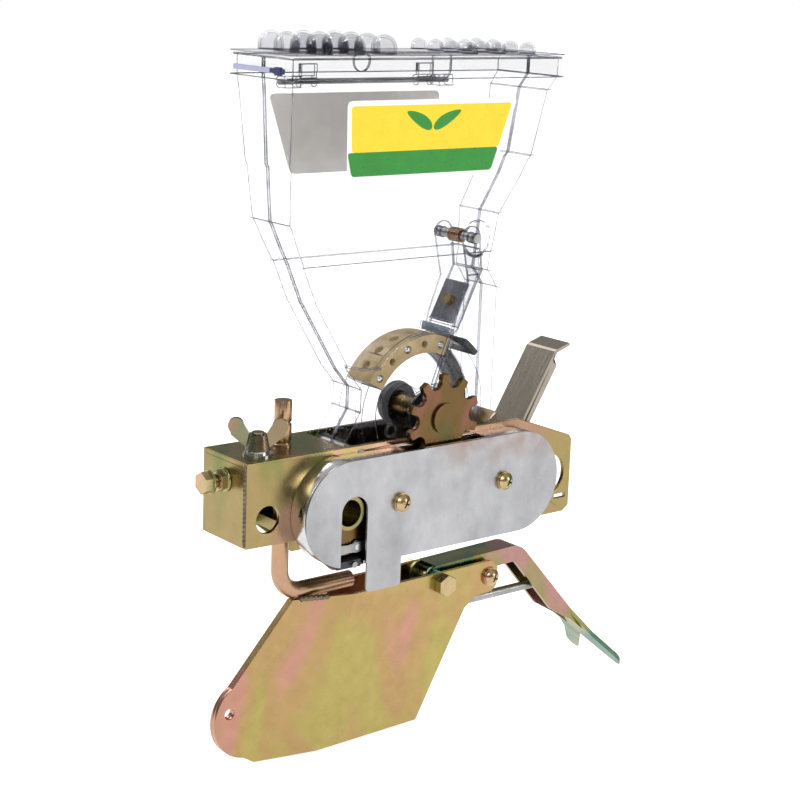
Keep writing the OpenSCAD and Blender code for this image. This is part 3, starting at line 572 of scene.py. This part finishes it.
def chain():
    """Roller chain round two wheels: pins are a pitch apart along two straight runs and stand on the pitch
    circle at each end. A link's side plate is a waisted outline between two pins."""
    low_box, high_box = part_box("drive_chain")
    start = mid("drive_sprocket")
    end = mid("idler_sprocket")
    span = math.hypot(end.x - start.x, end.z - start.z)
    tilt = math.atan2(end.z - start.z, end.x - start.x)
    half = math.pi / TEETH
    run = np.arange(RUN_PINS) * PITCH + SPROCKET_R * math.sin(half)
    rise = SPROCKET_R * math.cos(half)
    arc = math.pi / 2 + (np.arange(TEETH // 2) + 0.5) * 2 * half
    top = np.stack([run, np.full(RUN_PINS, rise)], 1)
    far = np.stack([span - SPROCKET_R * np.cos(arc), SPROCKET_R * np.sin(arc)], 1)
    low = np.stack([run[::-1], np.full(RUN_PINS, -rise)], 1)
    near = np.stack([SPROCKET_R * np.cos(arc[::-1]), SPROCKET_R * np.sin(arc[::-1])], 1)
    pins = np.concatenate([top, far, low, near])
    middle = (low_box.y + high_box.y) / 2
    turn = np.linspace(0, 2 * np.pi, 28, endpoint=False)

    def place(u, v, d):
        """u runs along the chain case, v square to it and d across the chain."""
        return np.stack([start.x + u * math.cos(tilt) - v * math.sin(tilt), middle + d,
                         start.z + u * math.sin(tilt) + v * math.cos(tilt)], 1)

    plates, rollers = [], []
    for i, (a, b) in enumerate(zip(pins, np.roll(pins, -1, 0))):
        way = (b - a) / np.linalg.norm(b - a)
        side = np.array([-way[1], way[0]])
        length = np.linalg.norm(b - a) / 2
        wide = 2.85 * MM
        along = np.cos(turn) * wide + np.sign(np.cos(turn)) * length * np.clip(np.abs(np.cos(turn)) * 6, 0, 1)
        across = np.sin(turn) * wide * (1 - 0.28 * np.exp(-(along / (0.45 * length)) ** 2))
        outline = (a + b) / 2 + along[:, None] * way + across[:, None] * side
        inner, outer = (2.45, 3.05) if i % 2 else (3.1, 3.65)
        for s in (-1, 1):
            plates.append(prism(outline, s * inner * MM, s * outer * MM, place))
        round_ = np.stack([a[0] + 3.3 * MM * np.cos(turn[::2]), a[1] + 3.3 * MM * np.sin(turn[::2])], 1)
        pin = np.stack([a[0] + 1.6 * MM * np.cos(turn[::2]), a[1] + 1.6 * MM * np.sin(turn[::2])], 1)
        rollers.append(prism(round_, -2.4 * MM, 2.4 * MM, place))
        rollers.append(prism(pin, -3.7 * MM, 3.7 * MM, place))
    obj = piece("chain_links", *joined(plates), "steel", "frame", "steel", smooth=False)
    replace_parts(obj, "drive_chain")
    obj = piece("chain_rollers", *joined(rollers), "nickel", "frame", "steel", smooth=False)
    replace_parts(obj, "drive_chain")


chain()


# ---------------------------------------------------------------- bristles

def bristles():
    """Thin four-sided hairs, each a line from the brush's holder to the roller with a small seeded lean."""
    seed = np.random.default_rng(7)
    low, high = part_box("gate_bristles")
    axis = mid("roller_shaft")
    count = 260
    angle = np.radians(seed.uniform(64, 77, count))
    y = seed.uniform(low.y + 0.3 * MM, high.y - 0.3 * MM, count)
    root = np.stack([axis.x + 46.4 * MM * np.cos(angle), y, axis.z + 46.4 * MM * np.sin(angle)], 1)
    lean = np.radians(seed.normal(0, 0.8, count))
    tip = np.stack([axis.x + 41.7 * MM * np.cos(angle + lean), y + seed.normal(0, 0.15 * MM, count),
                    axis.z + 41.7 * MM * np.sin(angle + lean)], 1)
    thick = [0.2 * MM, 0.18 * MM, 0.1 * MM]
    parts = [tube(np.stack([a, (a + b) / 2, b]), thick, 4) for a, b in zip(root, tip)]
    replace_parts(piece("bristle_tuft", *joined(parts), "bristle", "gate", "bristle"), "gate_bristles")


bristles()


# ---------------------------------------------------------------- weld beads

def bead(name, nodes, ends, radius, ripples, body):
    """A bead of weld: a tube whose radius swells once for each ripple along its length."""
    parts = []
    for a, b in ends:
        t = np.linspace(0, 1, ripples * 8 + 1)
        path = np.asarray(a) + t[:, None] * (np.asarray(b) - np.asarray(a))
        swell = 0.74 + 0.26 * np.abs(np.sin(np.pi * ripples * t + 0.2))
        taper = np.clip(np.minimum(t, 1 - t) * 14 + 0.35, 0, 1)
        parts.append(tube(path, radius * swell * taper, 14))
    obj = piece(name, *joined(parts), "weld", body, "weld")
    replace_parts(obj, nodes)


low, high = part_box("frame_welds")
middle = (low.y + high.y) / 2
corner_run = ((high.x, middle, low.z), (high.x, middle, high.z))
bead("frame_bead", "frame_welds", [corner_run], 1.15 * MM, 18, "frame")
low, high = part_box("shoe_welds")
weld_z = -52.2 * MM
shoe_runs = [((low.x + 1 * MM, s * 4.1 * MM, weld_z), (high.x - 1 * MM, s * 9.1 * MM, weld_z))
             for s in (-1, 1)]
bead("shoe_bead", "shoe_welds", shoe_runs, 1.6 * MM, 6, "shoe")


# ---------------------------------------------------------------- floor, light and camera

def studio():
    """White paper floor, a room that is bright overhead and dim along the horizon, and three soft panels."""
    floor_mesh = bpy.data.meshes.new("floor")
    z = cad_box[0][2] - 0.0006
    size = 6.0
    corners = [(-size, -size, z), (size, -size, z), (size, size, z), (-size, size, z)]
    floor_mesh.from_pydata(corners, [], [(0, 1, 2, 3)])
    floor = bpy.data.objects.new("floor", floor_mesh)
    bpy.context.scene.collection.objects.link(floor)
    paper = Nodes("floor_paper").set(Roughness=0.9, Emission_Color=(1, 1, 1, 1), Emission_Strength=0.85)
    paper.colour(paper.ramp(paper.noise(3, 2), [(0.3, (0.7, 0.7, 0.7)), (0.7, (0.72, 0.72, 0.72))]))
    floor_mesh.materials.append(paper.mat)
    world = bpy.data.worlds.new("room")
    world.use_nodes = True
    tree = world.node_tree
    tree.nodes["Background"].inputs["Strength"].default_value = 1.0
    where = tree.nodes.new("ShaderNodeTexCoord")
    axes = tree.nodes.new("ShaderNodeSeparateXYZ")
    height = tree.nodes.new("ShaderNodeValToRGB")
    stops = ((0.0, 0.08), (0.12, 0.14), (0.4, 0.34), (0.75, 0.62))
    while len(height.color_ramp.elements) < len(stops):
        height.color_ramp.elements.new(0.5)
    for element, (place, grey) in zip(height.color_ramp.elements, stops):
        element.position = place
        element.color = (grey, grey, grey, 1)
    ray = tree.nodes.new("ShaderNodeLightPath")
    seen = tree.nodes.new("ShaderNodeMix")
    seen.data_type = "RGBA"
    seen.inputs["B"].default_value = (1, 1, 1, 1)
    tree.links.new(where.outputs["Generated"], axes.inputs["Vector"])
    tree.links.new(axes.outputs["Z"], height.inputs["Fac"])
    tree.links.new(height.outputs["Color"], seen.inputs["A"])
    tree.links.new(ray.outputs["Is Camera Ray"], seen.inputs["Factor"])
    tree.links.new(seen.outputs["Result"], tree.nodes["Background"].inputs["Color"])
    bpy.context.scene.world = world
    for name, place, aim, width, power in (
            ("key", (-1.1, -1.0, 1.2), (0.08, 0, 0.05), 0.8, 13),
            ("side", (1.0, -1.3, 0.5), (0.08, 0, 0.05), 0.6, 6),
            ("back", (0.0, 1.4, 1.0), (0.08, 0, 0.05), 0.9, 8)):
        lamp = bpy.data.lights.new(name, "AREA")
        lamp.energy = power
        lamp.size = width
        obj = bpy.data.objects.new(name, lamp)
        obj.location = place
        obj.rotation_euler = (Vector(aim) - Vector(place)).to_track_quat("-Z", "Y").to_euler()
        bpy.context.scene.collection.objects.link(obj)
    bpy.context.scene.view_settings.view_transform = "Standard"


def camera():
    """Camera set by its place, yaw, pitch and roll, with the lens length for a 36 mm frame."""
    yaw, pitch, roll = (math.radians(a) for a in (39.21, 13.54, 2.16))
    ahead = Vector((math.sin(yaw) * math.cos(pitch), math.cos(yaw) * math.cos(pitch), -math.sin(pitch)))
    right = Vector((math.cos(yaw), -math.sin(yaw), 0))
    up = right.cross(ahead)
    side = math.cos(roll) * right + math.sin(roll) * up
    top = math.cos(roll) * up - math.sin(roll) * right
    lens = bpy.data.cameras.new("camera")
    lens.lens = 82.76
    lens.sensor_width = 36
    lens.clip_start = 0.01
    obj = bpy.data.objects.new("camera", lens)
    turn = Matrix((side, top, -ahead)).transposed().to_4x4()
    obj.matrix_world = Matrix.Translation((-0.5007, -0.7328, 0.2728)) @ turn
    bpy.context.scene.collection.objects.link(obj)
    bpy.context.scene.camera = obj


studio()
camera()
